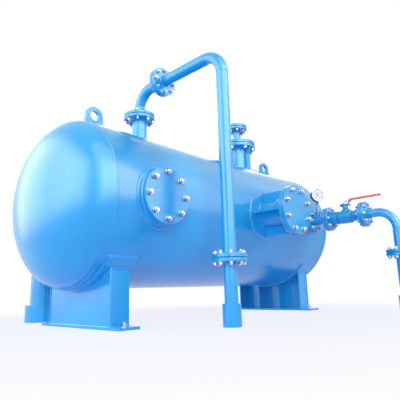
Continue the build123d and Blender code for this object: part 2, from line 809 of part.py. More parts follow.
# Rear nozzle, bend and drop pipe
rear_joint = tank_r + rear_stand
rear_reach = tank_r + rear_drop_stand
rear_joint_height = axis_height - rear_bend_radius - rear_joint_drop
rear_half = gasket_half + rear_flange_thickness
with BuildPart() as rear_neck:
    tube(facing(REAR, rear_x, 0), rear_joint - pipe_end_gap, rear_pipe_od, rear_bore)
    cut_to_shell()
save(rear_neck, "rear_neck")

with BuildPart() as rear_line_flanges:
    rear_plane = facing(REAR, rear_x, rear_joint)
    rear_drop_plane = upright(rear_x, rear_reach, rear_joint_height)
    rear_gasket_od = ring_inside(rear_bolt_circle, rear_hole_d)
    for joint in (rear_plane, rear_drop_plane):
        flange_pair(joint, rear_flange_od, rear_flange_thickness, rear_gasket_od, rear_pipe_od)
    chamfer(rims(rear_line_flanges, rear_flange_od), rim_chamfer)
    for joint in (rear_plane, rear_drop_plane):
        bolt_holes(joint.offset(-rear_half), 2 * rear_half, rear_bolt_circle, rear_hole_d)
save(rear_line_flanges, "rear_line_flanges")

with BuildPart() as rear_bend:
    rear_bend_start = rear_reach - rear_bend_radius
    rear_stub_start = rear_joint + pipe_end_gap
    rear_stub_length = rear_bend_start - rear_stub_start
    tube(facing(REAR, rear_x, rear_stub_start), rear_stub_length, rear_pipe_od, rear_bore)
    bend(facing(REAR, rear_x, rear_bend_start), DOWN, rear_bend_radius, rear_pipe_od, rear_bore)
save(rear_bend, "rear_bend")

with BuildPart() as rear_line_pipes:
    rear_start = rear_joint_height + pipe_end_gap
    rear_length = axis_height - rear_bend_radius - rear_start
    rear_foot_length = rear_joint_height - pipe_end_gap
    tube(upright(rear_x, rear_reach, rear_start), rear_length, rear_pipe_od, rear_bore)
    tube(upright(rear_x, rear_reach, 0), rear_foot_length, rear_pipe_od, rear_bore)
save(rear_line_pipes, "rear_line_pipes")


# Sleeves where the three pipes meet the ground
with BuildPart() as ground_sleeves:
    sleeves = (
        (inlet_x, -riser_reach, pipe_od, sleeve_wall),
        (outlet_x, -drop_reach, outlet_pipe_od, outlet_sleeve_wall),
        (rear_x, rear_reach, rear_pipe_od, rear_sleeve_wall),
    )
    for sleeve_x, sleeve_y, inside, wall in sleeves:
        tube(upright(sleeve_x, sleeve_y, 0), sleeve_height, inside + 2 * wall, inside)
save(ground_sleeves, "ground_sleeves")
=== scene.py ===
# %% [markdown]
# # A horizontal pressure tank, dressed for the studio
#
# The construction comes packed as a fixed frame: a shell with domed heads on two saddles,
# hatches, nozzles, pipe runs, a gauge and a lever valve, all at their real size in metres.
# This lesson adds what the frame leaves out, which is the paint, the bolts, the weld beads
# and the dial, and then sets up a plain bright studio. Nothing of the frame is moved.

# %% Load the frame and keep its box
import math

import bmesh
import bpy
from mathutils import Matrix, Vector


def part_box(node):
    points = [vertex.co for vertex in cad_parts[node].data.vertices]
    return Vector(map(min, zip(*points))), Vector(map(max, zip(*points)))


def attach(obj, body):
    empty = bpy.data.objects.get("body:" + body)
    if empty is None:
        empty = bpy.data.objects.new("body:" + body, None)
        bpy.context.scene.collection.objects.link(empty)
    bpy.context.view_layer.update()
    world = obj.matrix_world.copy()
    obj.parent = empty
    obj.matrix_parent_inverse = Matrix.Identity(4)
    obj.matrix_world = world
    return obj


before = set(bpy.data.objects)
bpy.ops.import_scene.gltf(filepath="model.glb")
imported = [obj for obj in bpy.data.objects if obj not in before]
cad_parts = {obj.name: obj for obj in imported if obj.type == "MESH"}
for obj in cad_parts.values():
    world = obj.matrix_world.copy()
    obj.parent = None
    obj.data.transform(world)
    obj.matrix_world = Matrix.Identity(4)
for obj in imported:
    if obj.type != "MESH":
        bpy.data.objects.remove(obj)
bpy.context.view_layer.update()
MM = 0.001

# %% [markdown]
# ## The camera
#
# The picture looks up slightly from knee height, from the left front corner. A camera can
# be aimed with a constraint or with three axes. The axes were worked out from the tank's
# outline, so they are written here directly and turned into one matrix.

# %% Place the camera
CAMERA_PLACE = Vector((-2.8131, -2.6957, 0.2347))
CAMERA_RIGHT = Vector((0.69042, -0.72287, -0.02797))
CAMERA_UP = Vector((-0.13159, -0.16351, 0.97773))
CAMERA_BACK = Vector((-0.71135, -0.67136, -0.20801))
LENS_MM = 37.90
SENSOR_MM = 36.0

camera_data = bpy.data.cameras.new("camera")
camera_data.lens = LENS_MM
camera_data.sensor_width = SENSOR_MM
camera = bpy.data.objects.new("camera", camera_data)
bpy.context.scene.collection.objects.link(camera)
camera_turn = Matrix((CAMERA_RIGHT, CAMERA_UP, CAMERA_BACK)).transposed()
camera.matrix_world = Matrix.Translation(CAMERA_PLACE) @ camera_turn.to_4x4()
bpy.context.scene.camera = camera
bpy.context.scene.view_settings.view_transform = "Standard"
print("camera at", list(CAMERA_PLACE), "with a lens of", LENS_MM, "mm")

# %% [markdown]
# ## Colours and nodes
#
# Colours are written as sRGB hex values, the way a paint card gives them, and the shader
# works in linear light, so one function converts them. One more adds a node with its
# settings and links, which keeps each finish below down to a few readable lines.


# %% Helpers for materials
def linear(hex_colour):
    """Linear RGBA of an sRGB hex colour."""
    channels = [int(hex_colour[i : i + 2], 16) / 255 for i in (1, 3, 5)]
    return [c / 12.92 if c <= 0.04045 else ((c + 0.055) / 1.055) ** 2.4 for c in channels] + [1.0]


def add_node(tree, kind, settings=None, **links):
    """Add a node, set its properties and inputs, and link named inputs from other sockets."""
    node = tree.nodes.new(kind)
    for name, value in (settings or {}).items():
        if name in node.inputs:
            node.inputs[name].default_value = value
        else:
            setattr(node, name, value)
    for name, source in links.items():
        tree.links.new(source, node.inputs[name.replace("_", " ")])
    return node


def new_finish(name):
    """New material: itself, its tree, its principled shader and its Object coordinates."""
    material = bpy.data.materials.new(name)
    material.use_nodes = True
    tree = material.node_tree
    shader = tree.nodes["Principled BSDF"]
    place = add_node(tree, "ShaderNodeTexCoord").outputs["Object"]
    return material, tree, shader, place


print("material helpers ready")

# %% [markdown]
# ## Sky blue gloss enamel
#
# Nearly everything is sprayed with one alkyd enamel. Sprayed paint levels into a faint
# orange peel, and its tint drifts a little where the coat is thinner. One flat colour would
# look like plastic, so two noises carry this. The peel is a bump of a few millimetres, drawn
# coarser than life so that it shows, and the drift is a slow noise about as wide as one
# sweep of the spray gun.

# %% Sky blue enamel
PEEL_MM = 9.0
SWEEP_MM = 420.0
ENAMEL_IOR = 1.52


def sky_blue_enamel():
    """Gloss alkyd enamel: a saturated blue with broad soft highlights."""
    material, tree, shader, place = new_finish("sky_blue_enamel")
    sweep = add_node(
        tree, "ShaderNodeTexNoise", {"Scale": 1 / (SWEEP_MM * MM), "Detail": 2.0}, Vector=place
    )
    drift = sweep.outputs["Fac"]
    tint = add_node(tree, "ShaderNodeValToRGB", Fac=drift)
    tint.color_ramp.elements[0].position = 0.35
    tint.color_ramp.elements[0].color = linear("#18A2DD")
    tint.color_ramp.elements[1].position = 0.68
    tint.color_ramp.elements[1].color = linear("#22AEE5")
    gloss = add_node(tree, "ShaderNodeMapRange", {"To Min": 0.22, "To Max": 0.29}, Value=drift)
    peel = add_node(
        tree, "ShaderNodeTexNoise", {"Scale": 1 / (PEEL_MM * MM), "Detail": 1.0}, Vector=place
    )
    bump = add_node(
        tree,
        "ShaderNodeBump",
        {"Strength": 0.04, "Distance": 0.4 * MM},
        Height=peel.outputs["Fac"],
    )
    tree.links.new(tint.outputs["Color"], shader.inputs["Base Color"])
    tree.links.new(gloss.outputs["Result"], shader.inputs["Roughness"])
    tree.links.new(bump.outputs["Normal"], shader.inputs["Normal"])
    shader.inputs["IOR"].default_value = ENAMEL_IOR
    shader.inputs["Coat Weight"].default_value = 0.3
    shader.inputs["Coat Roughness"].default_value = 0.15
    return material


enamel = sky_blue_enamel()
print("finish:", enamel.name)

# %% [markdown]
# ## Cast iron under enamel
#
# The valve is a casting, so its paint lies over a grainy skin left by the sand mould. It is
# the same blue with a stronger, finer bump and a duller sheen. The grains are far too small
# to model, so they are a bump, and it is drawn coarser than life so that it shows.

# %% Enamelled casting
SAND_MM = 3.5


def enamelled_casting():
    """Same enamel over a sand-cast skin: grainy and a little less glossy."""
    material, tree, shader, place = new_finish("enamelled_casting")
    sand = add_node(
        tree, "ShaderNodeTexNoise", {"Scale": 1 / (SAND_MM * MM), "Detail": 3.0}, Vector=place
    )
    grains = sand.outputs["Fac"]
    tint = add_node(tree, "ShaderNodeValToRGB", Fac=grains)
    tint.color_ramp.elements[0].position = 0.3
    tint.color_ramp.elements[0].color = linear("#1398D4")
    tint.color_ramp.elements[1].position = 0.7
    tint.color_ramp.elements[1].color = linear("#21A6DF")
    bump = add_node(
        tree, "ShaderNodeBump", {"Strength": 0.25, "Distance": 0.6 * MM}, Height=grains
    )
    tree.links.new(tint.outputs["Color"], shader.inputs["Base Color"])
    tree.links.new(bump.outputs["Normal"], shader.inputs["Normal"])
    shader.inputs["Roughness"].default_value = 0.42
    shader.inputs["IOR"].default_value = ENAMEL_IOR
    shader.inputs["Coat Weight"].default_value = 0.2
    shader.inputs["Coat Roughness"].default_value = 0.25
    return material


casting = enamelled_casting()
print("finish:", casting.name)

# %% [markdown]
# ## Bright zinc plate
#
# Studs, nuts and washers are electroplated with zinc: bright, slightly blue, with a fine
# cloudiness where the plating bath left it uneven. One noise drives both the tint and the
# gloss, because a cloudy patch is paler and duller at once.

# %% Zinc plate
CLOUD_MM = 6.0


def bright_zinc():
    """Electroplated zinc: bright metal with a cool tint and cloudy gloss."""
    material, tree, shader, place = new_finish("bright_zinc_plate")
    cloud = add_node(
        tree, "ShaderNodeTexNoise", {"Scale": 1 / (CLOUD_MM * MM), "Detail": 3.0}, Vector=place
    )
    haze = cloud.outputs["Fac"]
    tint = add_node(tree, "ShaderNodeValToRGB", Fac=haze)
    tint.color_ramp.elements[0].position = 0.3
    tint.color_ramp.elements[0].color = linear("#8F91BC")
    tint.color_ramp.elements[1].position = 0.7
    tint.color_ramp.elements[1].color = linear("#C8C9E0")
    gloss = add_node(tree, "ShaderNodeMapRange", {"To Min": 0.16, "To Max": 0.30}, Value=haze)
    tree.links.new(tint.outputs["Color"], shader.inputs["Base Color"])
    tree.links.new(gloss.outputs["Result"], shader.inputs["Roughness"])
    shader.inputs["Metallic"].default_value = 1.0
    return material


zinc = bright_zinc()
print("finish:", zinc.name)

# %% [markdown]
# ## Red vinyl, black enamel and the dial's finishes
#
# The lever's grip is dipped in red vinyl, which dries smooth and slightly soft. The gauge
# has a black stoved case, a matt white dial printed in black ink, and a ring of satin
# nickel. Each is a thin even coat, so one function makes them all from two close shades and
# a slight grain, which is drawn coarser than life so that it shows.

# %% Small finishes
GRAIN_MM = 2.0
PRINT_ROUGHNESS = 0.75
PRINT_SPECULAR = 0.2


def coated(name, dark, light, roughness, coat=0.0, metallic=0.0, specular=0.5):
    """Thin coat with a slight grain: vinyl, stove enamel, printing or satin nickel."""
    material, tree, shader, place = new_finish(name)
    noise = add_node(
        tree, "ShaderNodeTexNoise", {"Scale": 1 / (GRAIN_MM * MM), "Detail": 2.0}, Vector=place
    )
    grain = noise.outputs["Fac"]
    tint = add_node(tree, "ShaderNodeMix", {"data_type": "RGBA"}, Factor=grain)
    tint.inputs["A"].default_value = linear(dark)
    tint.inputs["B"].default_value = linear(light)
    bump = add_node(tree, "ShaderNodeBump", {"Strength": 0.08, "Distance": 0.2 * MM}, Height=grain)
    tree.links.new(tint.outputs["Result"], shader.inputs["Base Color"])
    tree.links.new(bump.outputs["Normal"], shader.inputs["Normal"])
    shader.inputs["Roughness"].default_value = roughness
    shader.inputs["Coat Weight"].default_value = coat
    shader.inputs["Metallic"].default_value = metallic
    shader.inputs["Specular IOR Level"].default_value = specular
    return material


vinyl = coated("red_dipped_vinyl", "#FB4A44", "#FF6058", 0.38, coat=0.2)
stove_black = coated("black_stove_enamel", "#101115", "#1B1C22", 0.35, coat=0.3)
dial_white = coated(
    "white_dial_print", "#F4F3F3", "#FBFAFA", PRINT_ROUGHNESS, specular=PRINT_SPECULAR
)
dial_ink = coated("black_dial_ink", "#121212", "#1C1C1C", PRINT_ROUGHNESS, specular=PRINT_SPECULAR)
ring_nickel = coated("satin_nickel_ring", "#787A82", "#868890", 0.4, metallic=1.0)
print("finishes:", vinyl.name, stove_black.name, dial_white.name, dial_ink.name, ring_nickel.name)

# %% [markdown]
# ## The gauge's window
#
# The window is a clear flat plate. Glass that bends light would darken the dial behind it,
# so the plate is nearly see-through by its alpha, and only its gloss is left to be seen.

# %% Clear window
window_clear, _, window_shader, _ = new_finish("clear_window")
window_shader.inputs["Base Color"].default_value = linear("#FFFFFF")
window_shader.inputs["Roughness"].default_value = 0.04
window_shader.inputs["IOR"].default_value = 1.5
window_shader.inputs["Alpha"].default_value = 0.05
print("finish:", window_clear.name)

# %% [markdown]
# ## Paint the frame
#
# Every piece of the frame keeps its own mesh and gets a finish in its material slot. Most
# are blue, and the few others are listed by name.

# %% Assign the finishes
other_finishes = {
    "valve_body": casting,
    "valve_stem": zinc,
    "valve_lever": zinc,
    "lever_grip": vinyl,
    "pressure_gauge": stove_black,
}
for node_name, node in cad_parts.items():
    node.data.materials.clear()
    node.data.materials.append(other_finishes.get(node_name, enamel))
print("painted", len(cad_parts), "pieces")

# %% [markdown]
# ## What a joint is
#
# A flanged joint is known by its middle, the direction that its pipe runs, and how far each
# outer face stands from that middle. A small class keeps these together with the bolt
# circle, and gives the matrix that stands a piece on one of the faces.

# %% Describe a joint
UP = Vector((0, 0, 1))
FRONT = Vector((0, -1, 0))
REAR = Vector((0, 1, 0))


def axis_place(middle, along):
    """Matrix that stands a piece made on the Z axis at a point, along a direction."""
    side = Vector((1, 0, 0))
    axes = Matrix((side, along.cross(side), along)).transposed().to_4x4()
    return Matrix.Translation(middle) @ axes


class Joint:
    """Flanged joint: reach in metres, bolt circle and thread as diameters in millimetres."""

    def __init__(self, middle, along, reach, circle, thread, first_angle=0.0):
        self.middle = Vector(middle)
        self.along = along
        self.reach = reach
        self.circle = circle
        self.thread = thread
        self.first_angle = first_angle

    def matrix(self, distance, flip=False):
        """Place on the joint, so far along it, looking out along it or back."""
        out = -self.along if flip else self.along
        return axis_place(self.middle + self.along * distance, out)


print("joints run", list(UP), list(FRONT), "or", list(REAR))

# %% [markdown]
# ## Where the joints are
#
# The places could be typed in from the drawing. They come from the boxes of the frame's
# pieces instead, so that a bolt stays on its flange if the drawing changes. Only what a box
# can't tell, such as a flange's radius within a longer run, is written as a number.

# %% Measure the joints
FLANGE_R = 116 * MM
OUTLET_FLANGE_R = 112.5 * MM
REAR_FLANGE_R = 170 * MM
FLANGE_REACH = 26.5 * MM
REAR_REACH = 27 * MM
PIPE_END_GAP = 5.5 * MM
BOLTS = 8
BOLT_STEP = math.radians(360 / BOLTS)
HALF_STEP = BOLT_STEP / 2


def middle_of(node):
    """Middle of a piece's box."""
    low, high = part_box(node)
    return (low + high) / 2


shell_low, shell_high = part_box("shell")
tank_r = (shell_high.z - shell_low.z) / 2
axis_z = (shell_high.z + shell_low.z) / 2
riser_low, riser_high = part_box("riser_line_flanges")
outlet_low, outlet_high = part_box("outlet_line_flanges")
rear_low, rear_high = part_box("rear_line_flanges")
dome_low, dome_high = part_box("dome_flanges")
inlet_x = middle_of("inlet_neck").x
outlet_x = middle_of("outlet_neck").x
rear_x = middle_of("rear_neck").x
riser_y = riser_low.y + FLANGE_R
drop_y = outlet_low.y + OUTLET_FLANGE_R
rear_y = rear_high.y - REAR_FLANGE_R
tee_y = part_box("gauge_tee")[0].y - PIPE_END_GAP
valve_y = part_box("valve_body")[0].y - PIPE_END_GAP
run_z = riser_high.z - FLANGE_R

# Reach, bolt circle and thread of each size of joint
RISER_BOLTS = (FLANGE_REACH, 185, 16)
INLET_BOLTS = (FLANGE_REACH, 220, 16)
OUTLET_BOLTS = (FLANGE_REACH, 178, 16)
REAR_BOLTS = (REAR_REACH, 295, 20)
DOME_BOLTS = ((dome_high.z - dome_low.z) / 2, 340, 20)

run_joint = Joint((inlet_x, riser_high.y - FLANGE_REACH, run_z), FRONT, *RISER_BOLTS)
riser_joint = Joint((inlet_x, riser_y, riser_low.z + FLANGE_REACH), UP, *RISER_BOLTS)
inlet_joint = Joint(middle_of("inlet_flanges"), UP, *INLET_BOLTS)
vent_joint = Joint(middle_of("vent_flanges"), UP, *RISER_BOLTS)
dome_joint = Joint(middle_of("dome_flanges"), UP, *DOME_BOLTS, HALF_STEP)
outlet_joint = Joint((outlet_x, outlet_high.y - FLANGE_REACH, axis_z), FRONT, *OUTLET_BOLTS)
tee_joint = Joint((outlet_x, tee_y, axis_z), FRONT, *OUTLET_BOLTS)
valve_joint = Joint((outlet_x, valve_y, axis_z), FRONT, *OUTLET_BOLTS)
drop_joint = Joint((outlet_x, drop_y, outlet_low.z + FLANGE_REACH), UP, *OUTLET_BOLTS)
rear_joint = Joint((rear_x, rear_low.y + REAR_REACH, axis_z), REAR, *REAR_BOLTS)
rear_drop_joint = Joint((rear_x, rear_y, rear_low.z + REAR_REACH), UP, *REAR_BOLTS)
print("tank radius", round(tank_r, 4), "axis height", round(axis_z, 4))

# %% [markdown]
# ## Studs, nuts and washers
#
# A flange stud shows a washer, a hexagon nut and a short end of thread on each side. One
# set is modelled once per thread size from three prisms, with the nut's corners turned off
# by a bevel, and then copied round each bolt circle into a single mesh. There are over two
# hundred of them, so each has only a few dozen faces.

# %% Model one nut set
NUT_SIDES = 6
ROUND_SIDES = 14
# Across flats, nut height, washer diameter, washer thickness and free thread, by thread size
NUT_SIZES = {
    16: (24.0, 13.5, 30.0, 3.0, 7.0),
    20: (30.0, 16.0, 37.0, 3.0, 9.0),
    24: (36.0, 19.0, 44.0, 4.0, 10.0),
}
# Bevels as shares of the washer's thickness, the nut's height and the thread's diameter
WASHER_BEVEL = 0.25
NUT_BEVEL = 0.14
THREAD_BEVEL = 0.1
SAME_HEIGHT = 0.01 * MM


def add_disc(mesh, radius, low, high, sides):
    """Closed prism or cylinder on the Z axis from one height to another: its vertices."""
    made = bmesh.ops.create_cone(
        mesh, cap_ends=True, segments=sides, radius1=radius, radius2=radius, depth=high - low
    )
    bmesh.ops.translate(mesh, verts=made["verts"], vec=(0, 0, (high + low) / 2))
    return made["verts"]


def bevel_top(mesh, verts, height, width):
    """Take the sharp edge off the end of a prism at one height."""
    edges = dict.fromkeys(edge for vert in verts for edge in vert.link_edges)
    top = [e for e in edges if all(abs(v.co.z - height) < SAME_HEIGHT for v in e.verts)]
    bmesh.ops.bevel(
        mesh, geom=top, offset=width, affect="EDGES", segments=1, profile=0.5, material=-1
    )


def nut_set(thread):
    """Washer, nut and stud end standing on the ground plane, as a mesh."""
    flats, height, washer_d, washer, free = (size * MM for size in NUT_SIZES[thread])
    mesh = bmesh.new()
    verts = add_disc(mesh, washer_d / 2, 0, washer, ROUND_SIDES)
    bevel_top(mesh, verts, washer, washer * WASHER_BEVEL)
    nut_top = washer + height
    verts = add_disc(mesh, flats / math.sqrt(3), washer, nut_top, NUT_SIDES)
    bevel_top(mesh, verts, nut_top, height * NUT_BEVEL)
    end_top = nut_top + free
    verts = add_disc(mesh, thread * MM / 2, nut_top - free, end_top, ROUND_SIDES)
    bevel_top(mesh, verts, end_top, thread * MM * THREAD_BEVEL)
    made = bpy.data.meshes.new(f"nut_set_{thread}")
    mesh.to_mesh(made)
    mesh.free()
    return made


nut_sets = {thread: nut_set(thread) for thread in NUT_SIZES}
print("nut sets:", {thread: len(made.polygons) for thread, made in nut_sets.items()})

# %% [markdown]
# ## Pieces and copies
#
# A finished piece is one mesh whose object stays at the origin, so that its pattern and its
# place agree with the frame. Two helpers do this for every piece that follows: one drops a
# copy of a mesh into a bmesh at a place, the other turns the bmesh into an object with a
# finish, smooth faces and sharp edges, and lets it ride on its body.

# %% Copy and finish
SMOOTH_ANGLE = math.radians(38)


def drop_copy(mesh, source, place):
    """Add a mesh to a bmesh at a place."""
    before = set(mesh.verts)
    mesh.from_mesh(source)
    added = [vert for vert in mesh.verts if vert not in before]
    bmesh.ops.transform(mesh, matrix=place, verts=added)


def finish_piece(name, mesh, finish, body="tank"):
    """Turn a bmesh into a finished piece that rides on a body of the frame."""
    made = bpy.data.meshes.new(name)
    mesh.to_mesh(made)
    mesh.free()
    made.shade_smooth()
    made.set_sharp_from_angle(angle=SMOOTH_ANGLE)
    made.materials.append(finish)
    piece = bpy.data.objects.new(name, made)
    bpy.context.scene.collection.objects.link(piece)
    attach(piece, body)
    print("piece:", name, len(made.polygons), "faces")


print("edges sharper than", round(math.degrees(SMOOTH_ANGLE)), "degrees stay sharp")

# %% [markdown]
# ## Bolts on the joints
#
# Every flange here has eight bolts, evenly round its circle. Each could be an object of its
# own, but one joint's bolts are easier to handle as one piece, so the copies share a mesh.
# The sets on a joint's back face look the other way.


# %% Bolt the joints
def ring_places(joint, distance, flip):
    """Places of the bolts round a joint, on one face of it."""
    base = joint.matrix(distance, flip)
    radius = joint.circle * MM / 2
    for number in range(BOLTS):
        angle = joint.first_angle + number * BOLT_STEP
        if flip:
            angle = -angle
        turn_out = Matrix.Rotation(angle, 4, "Z")
        yield base @ turn_out @ Matrix.Translation((radius, 0, 0))


def bolt_joint(name, joint, both_sides=True):
    """Nut sets round a joint, on its outer face and, where reached, on its back."""
    mesh = bmesh.new()
    for place in ring_places(joint, joint.reach, False):
        drop_copy(mesh, nut_sets[joint.thread], place)
    if both_sides:
        for place in ring_places(joint, -joint.reach, True):
            drop_copy(mesh, nut_sets[joint.thread], place)
    finish_piece(name, mesh, zinc)


bolt_joint("inlet_bolts", inlet_joint)
bolt_joint("run_bolts", run_joint)
bolt_joint("riser_bolts", riser_joint)
bolt_joint("dome_bolts", dome_joint)
bolt_joint("vent_bolts", vent_joint)
bolt_joint("outlet_bolts", outlet_joint)
bolt_joint("tee_bolts", tee_joint)
bolt_joint("valve_bolts", valve_joint)
bolt_joint("drop_bolts", drop_joint)
bolt_joint("rear_bolts", rear_joint)
bolt_joint("rear_drop_bolts", rear_drop_joint)

# %% [markdown]
# ## Hatch bolts
#
# The near hatch is held by studs screwed into its ring, so nuts show on the cover alone.
# The far hatch has a free flange, and its nuts also show behind it, between the ribs.

# %% Bolt the hatches
HATCH_THREAD = 24
NEAR_CIRCLE = 323
FAR_CIRCLE = 345

near_low, near_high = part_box("near_hatch_cover")
near_middle = (near_low + near_high) / 2
near_reach = (near_high.y - near_low.y) / 2
near_hatch = Joint(near_middle, FRONT, near_reach, NEAR_CIRCLE, HATCH_THREAD)
bolt_joint("near_hatch_bolts", near_hatch, both_sides=False)

far_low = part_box("far_hatch_cover")[0]
far_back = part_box("far_hatch_flange")[1]
far_middle = middle_of("far_hatch_cover")
far_middle.y = (far_low.y + far_back.y) / 2
far_reach = (far_back.y - far_low.y) / 2
far_hatch = Joint(far_middle, FRONT, far_reach, FAR_CIRCLE, HATCH_THREAD, HALF_STEP)
bolt_joint("far_hatch_bolts", far_hatch)

# %% [markdown]
# ## Anchor bolts
#
# Each base plate is held down at both ends. Only what stands above the plate is made: the
# washer, the nut and the end of the anchor bolt.

# %% Anchor the saddles
ANCHOR_THREAD = 24
ANCHOR_EDGE = 60 * MM

anchor_mesh = bmesh.new()
for plate in ("near_base_plate", "far_base_plate"):
    plate_low, plate_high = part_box(plate)
    plate_x = (plate_low.x + plate_high.x) / 2
    for end_y in (plate_low.y + ANCHOR_EDGE, plate_high.y - ANCHOR_EDGE):
        on_plate = Matrix.Translation((plate_x, end_y, plate_high.z))
        drop_copy(anchor_mesh, nut_sets[ANCHOR_THREAD], on_plate)
finish_piece("anchor_bolts", anchor_mesh, zinc)

# %% [markdown]
# ## Weld beads
#
# Where two pieces are welded, the bead stands proud as a row of small ripples under the
# paint. A bead could be a swept curve, but a small circle spun round an axis gives the same
# ring with fewer steps, and a part ring only has to be closed at its ends. On the curved
# shell the ring is then pressed down until it follows the tank, point by point. The ripples
# are drawn coarser than life so that they show.

# %% Spin a bead
BEAD_SIDES = 8
LEAST_STEPS = 24
RIPPLE_MM = 12.0
VALLEY = 0.8


def swell(number):
    """Share of the full bead at one step of its ripple."""
    return 1.0 if number % 2 else VALLEY


def add_to(mesh, piece):
    """Move a small bmesh into a larger one."""
    made = bpy.data.meshes.new("bead")
    piece.to_mesh(made)
    piece.free()
    mesh.from_mesh(made)
    bpy.data.meshes.remove(made)


def bead_ring(mesh, place, radius, bead, start=0.0, turn=math.tau, press=None):
    """Rippled weld round the Z axis of a place, pressed on to a surface where one is given."""
    steps = max(LEAST_STEPS, 2 * round(turn * radius / (RIPPLE_MM * MM)))
    whole = math.isclose(turn, math.tau)
    ring = bmesh.new()
    section = bmesh.ops.create_circle(ring, segments=BEAD_SIDES, radius=bead)
    stand_up = Matrix.Translation((radius, 0, 0)) @ Matrix.Rotation(math.pi / 2, 4, "X")
    to_start = Matrix.Rotation(start, 4, "Z") @ stand_up
    bmesh.ops.transform(ring, matrix=to_start, verts=section["verts"])
    bmesh.ops.spin(
        ring,
        geom=ring.verts[:] + ring.edges[:],
        axis=(0, 0, 1),
        cent=(0, 0, 0),
        angle=turn,
        steps=steps,
        use_merge=whole,
    )
    if not whole:
        bmesh.ops.holes_fill(ring, edges=ring.edges[:], sides=BEAD_SIDES)
    for vert in ring.verts:
        angle = math.atan2(vert.co.y, vert.co.x)
        core = Vector((math.cos(angle), math.sin(angle), 0)) * radius
        vert.co = core + (vert.co - core) * swell(round((angle - start) / turn * steps))
    bmesh.ops.transform(ring, matrix=place, verts=ring.verts)
    if press:
        for vert in ring.verts:
            vert.co += press(vert.co)
    add_to(mesh, ring)


print("a bead has", BEAD_SIDES, "sides and a ripple every", RIPPLE_MM, "mm")

# %% [markdown]
# ## The head seams
#
# Each head is joined to the shell by one wide bead round the tank. The bead is a full round
# section, sunk until little more than its crown stands above the plate.

# %% Weld the heads
HEAD_BEAD = 8 * MM
HEAD_SINK = 0.4


def finish_bead(name, mesh):
    """Recalculate a bead's normals and paint it with the enamel."""
    bmesh.ops.recalc_face_normals(mesh, faces=mesh.faces)
    finish_piece(name, mesh, enamel)


seam_mesh = bmesh.new()
for seam_x in (shell_low.x, shell_high.x):
    along_tank = Matrix.Translation((seam_x, 0, axis_z)) @ Matrix.Rotation(math.pi / 2, 4, "Y")
    bead_ring(seam_mesh, along_tank, tank_r - HEAD_BEAD * HEAD_SINK, HEAD_BEAD)
finish_bead("head_seam_welds", seam_mesh)

# %% [markdown]
# ## Fillet welds round the pads and necks
#
# Each pad is welded to the shell round its rim, and each neck to its pad. These rings start
# flat and are pressed on to the tank along the nozzle's own direction.

# %% Press the rings on to the tank
PAD_THICKNESS = 12 * MM
PAD_BEAD = 11 * MM
NECK_BEAD = 8 * MM
# Piece, direction, pad diameter and neck diameter in millimetres
NOZZLES = (
    ("inlet_neck", UP, 280, 127),
    ("dome_neck", UP, 432, 219),
    ("near_hatch_cover", FRONT, 436, 394),
    ("far_hatch_neck", FRONT, 432, 219),
    ("outlet_neck", FRONT, 150, 76),
    ("rear_neck", REAR, 340, 219),
)


def pressed_ring(mesh, middle_x, out, radius, bead, surface_r):
    """Weld ring round a nozzle, pressed on to a cylinder round the tank's axis."""

    def on_tank(point):
        across = point.y if abs(out.z) > 0.5 else point.z - axis_z
        return out * math.sqrt(surface_r**2 - across**2)

    place = axis_place((middle_x, 0, axis_z), out)
    bead_ring(mesh, place, radius, bead, press=on_tank)


pad_mesh = bmesh.new()
for node_name, direction, pad_d, neck_d in NOZZLES:
    nozzle_x = middle_of(node_name).x
    pressed_ring(pad_mesh, nozzle_x, direction, pad_d * MM / 2, PAD_BEAD, tank_r)
    pressed_ring(pad_mesh, nozzle_x, direction, neck_d * MM / 2, NECK_BEAD, tank_r + PAD_THICKNESS)
finish_bead("nozzle_welds", pad_mesh)

# %% [markdown]
# ## Butt and fillet welds on the pipes
#
# A bend meets its straight pipe in a thin butt weld, and a pipe meets a flange in a small
# fillet round its outside. Both are plain rings, so two tables say where they go.

# %% Weld the pipe runs
PIPE_R = 44.5 * MM
OUTLET_R = 38 * MM
REAR_PIPE_R = 109.5 * MM
INLET_NECK_R = 63.5 * MM
DOME_NECK_R = 109.5 * MM
BEND_R = 165 * MM
OUTLET_BEND_R = 158 * MM
REAR_BEND_R = 229 * MM
PIPE_BEAD = 3.5 * MM
BUTT_SINK = 0.5

pipe_mesh = bmesh.new()
butt_welds = (
    ((inlet_x, -BEND_R, run_z), FRONT, PIPE_R),
    ((inlet_x, riser_y + BEND_R, run_z), FRONT, PIPE_R),
    ((inlet_x, riser_y, run_z - BEND_R), UP, PIPE_R),
    ((inlet_x, 0, run_z - BEND_R), UP, PIPE_R),
    ((outlet_x, drop_y + OUTLET_BEND_R, axis_z), FRONT, OUTLET_R),
    ((outlet_x, drop_y, axis_z - OUTLET_BEND_R), UP, OUTLET_R),
    ((rear_x, rear_y, axis_z - REAR_BEND_R), UP, REAR_PIPE_R),
)
for middle, along, radius in butt_welds:
    bead_ring(pipe_mesh, axis_place(middle, along), radius - PIPE_BEAD * BUTT_SINK, PIPE_BEAD)

# Joint, pipe radius behind it and pipe radius in front of it
fillet_welds = (
    (inlet_joint, INLET_NECK_R, PIPE_R),
    (run_joint, PIPE_R, PIPE_R),
    (riser_joint, PIPE_R, PIPE_R),
    (dome_joint, DOME_NECK_R, PIPE_R),
    (vent_joint, PIPE_R, None),
    (outlet_joint, OUTLET_R, OUTLET_R),
    (tee_joint, OUTLET_R, None),
    (valve_joint, None, OUTLET_R),
    (drop_joint, OUTLET_R, OUTLET_R),
    (rear_joint, REAR_PIPE_R, REAR_PIPE_R),
    (rear_drop_joint, REAR_PIPE_R, REAR_PIPE_R),
)
for joint, behind, before in fillet_welds:
    for side, radius in ((-1, behind), (1, before)):
        if radius:
            bead_ring(pipe_mesh, joint.matrix(side * joint.reach), radius, PIPE_BEAD)
finish_bead("pipe_welds", pipe_mesh)

